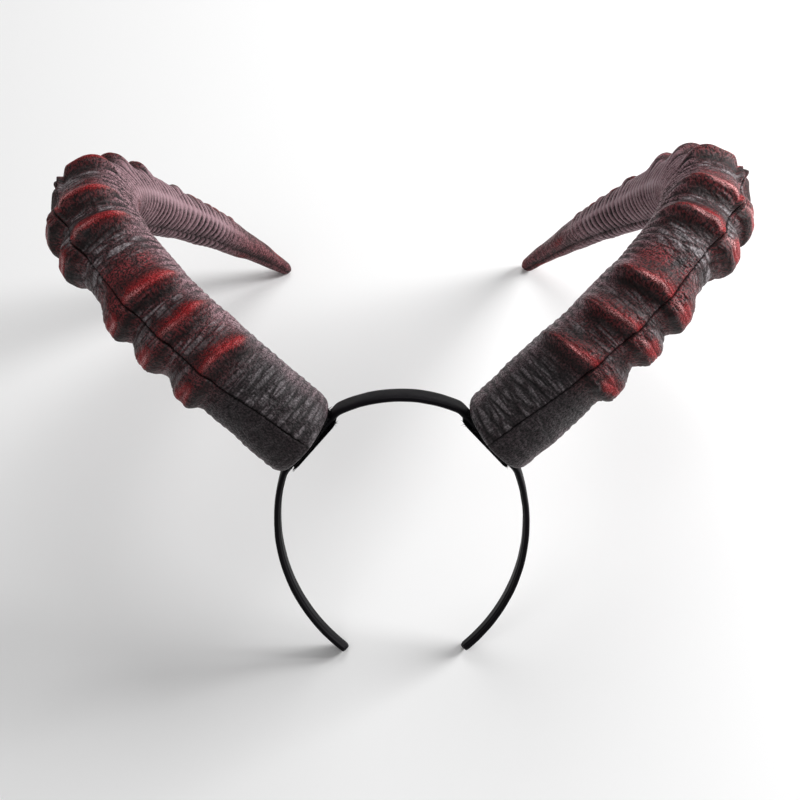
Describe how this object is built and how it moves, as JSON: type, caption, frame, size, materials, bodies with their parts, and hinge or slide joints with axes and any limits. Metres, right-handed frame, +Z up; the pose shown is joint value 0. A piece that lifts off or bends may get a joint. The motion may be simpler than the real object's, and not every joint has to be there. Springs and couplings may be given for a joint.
{
  "type": "devil horns headband",
  "caption": "Costume headband worn over the head: a springy ribbon-wound hoop that carries curled, knobbed foam horns on felt-padded seats.",
  "frame": {"origin": "on the surface it rests on, under the middle of its box", "axes": "+X to the wearer's left, across both horns; +Y to the back of the head, where the horns sweep; +Z up"},
  "size_m": [0.3342, 0.251, 0.1711],
  "materials": {
    "band_satin": "black satin ribbon, soft sheen",
    "horn_foam": "moulded foam, charcoal with dry-brushed dark red crests, satin",
    "pad_felt": "black felt, dull"
  },
  "bodies": {
    "root": {"headband": "band_satin", "horn_left_upper": "horn_foam", "horn_left_lower": "horn_foam", "horn_right_upper": "horn_foam", "horn_right_lower": "horn_foam", "base_cap_left": "pad_felt", "base_cap_right": "pad_felt", "base_pad_left": "pad_felt", "base_pad_right": "pad_felt"}
  },
  "joints": []
}
